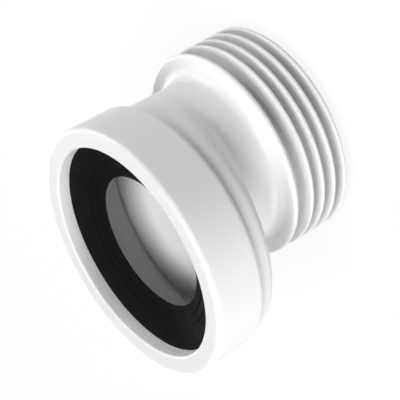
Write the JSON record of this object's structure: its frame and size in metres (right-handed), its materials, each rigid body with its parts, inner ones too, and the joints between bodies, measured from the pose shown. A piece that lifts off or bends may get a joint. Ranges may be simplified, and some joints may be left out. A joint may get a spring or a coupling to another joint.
{
  "type": "toilet pan connector",
  "caption": "Offset drain connector with a lip-sealed inlet socket for a toilet's spigot, an eccentric neck and a finned outlet that pushes into a soil pipe.",
  "frame": {"origin": "centre of the outlet's end face, on the outlet axis", "axes": "+Z along the outlet axis from the outlet end towards the inlet mouth, +X from the outlet axis towards the inlet axis"},
  "size_m": [0.145, 0.137, 0.111],
  "materials": {
    "white_moulding": "satin moulded polypropylene",
    "white_cap": "satin moulded polypropylene",
    "black_rubber": "moulded rubber, fine matt grain",
    "white_fins": "soft white elastomer, slightly matt"
  },
  "bodies": {
    "root": {"body": "white_moulding", "inlet_cap": "white_cap", "pan_seal": "black_rubber", "outlet_seal": "white_fins"}
  },
  "joints": []
}
